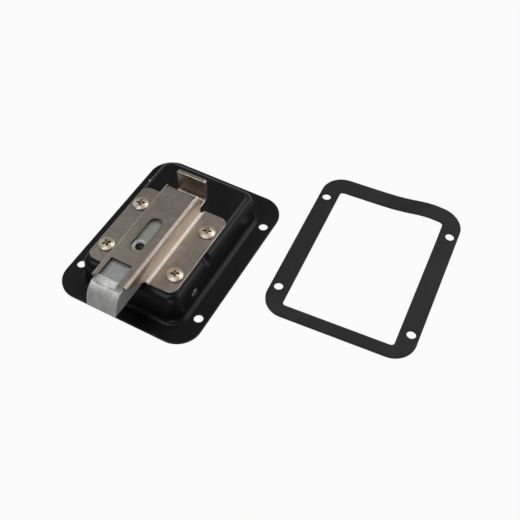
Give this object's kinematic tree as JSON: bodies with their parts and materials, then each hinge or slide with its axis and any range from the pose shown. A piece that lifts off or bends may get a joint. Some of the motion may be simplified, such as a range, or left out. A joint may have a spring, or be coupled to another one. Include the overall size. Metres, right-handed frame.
{
  "type": "paddle handle latch",
  "caption": "Flush paddle handle latch with a drawn pan, a swinging paddle, a sprung slam bolt in a stamped guide bracket, and a loose flange gasket.",
  "frame": {"origin": "centre of the rectangle of the four flange holes, on the flange's front face, which is the face the object rests on", "axes": "+X across the latch towards the gasket, +Y along the bolt away from its nose, +Z out of the latch's back"},
  "size_m": [0.2058, 0.1795, 0.0401],
  "materials": {
    "black_coating": "satin black powder coat on drawn steel",
    "nickel_plating": "dull warm grey plating on stamped steel",
    "zinc_casting": "tumbled die casting, rough satin with a zinc bloom",
    "plated_fastener": "bright zinc plate",
    "zinc_plated_steel": "zinc plate on stamped steel",
    "blackened_steel": "black finish on turned steel",
    "spring_wire": "drawn spring wire, lightly oiled",
    "black_rubber": "matt black sheet rubber with dust"
  },
  "bodies": {
    "housing": {"mounting_pan": "black_coating", "guide_bracket": "nickel_plating", "bracket_screws": "plated_fastener", "lock_washers": "plated_fastener", "bracket_nuts": "plated_fastener", "hinge_pin": "plated_fastener", "pin_clip": "blackened_steel", "paddle_spring": "spring_wire", "bolt_spring": "spring_wire", "spring_guide_pin": "plated_fastener", "flange_gasket": "black_rubber"},
    "paddle": {"paddle_tray": "black_coating", "paddle_lever": "zinc_plated_steel", "lever_rivets": "plated_fastener"},
    "bolt": {"slam_bolt": "zinc_casting", "tail_plate": "nickel_plating", "tail_rivets": "plated_fastener"}
  },
  "joints": [
    {"name": "paddle_hinge", "type": "hinge", "parent": "housing", "child": "paddle", "pos_m": [0, -0.0298, 0.009], "axis": [-1, 0, 0], "range_deg": [0, 37.3], "stiffness_Nm_per_rad": 0.5, "springref_deg": -22.92, "deforming": ["paddle_spring"]},
    {"name": "bolt_slide", "type": "slide", "parent": "housing", "child": "bolt", "axis": [0, 1, 0], "range_m": [0, 0.011], "deforming": ["bolt_spring"]}
  ],
  "couplings": [
    {"joint": "bolt_slide", "follows": "paddle_hinge", "m_per_rad": 0.016896}
  ]
}
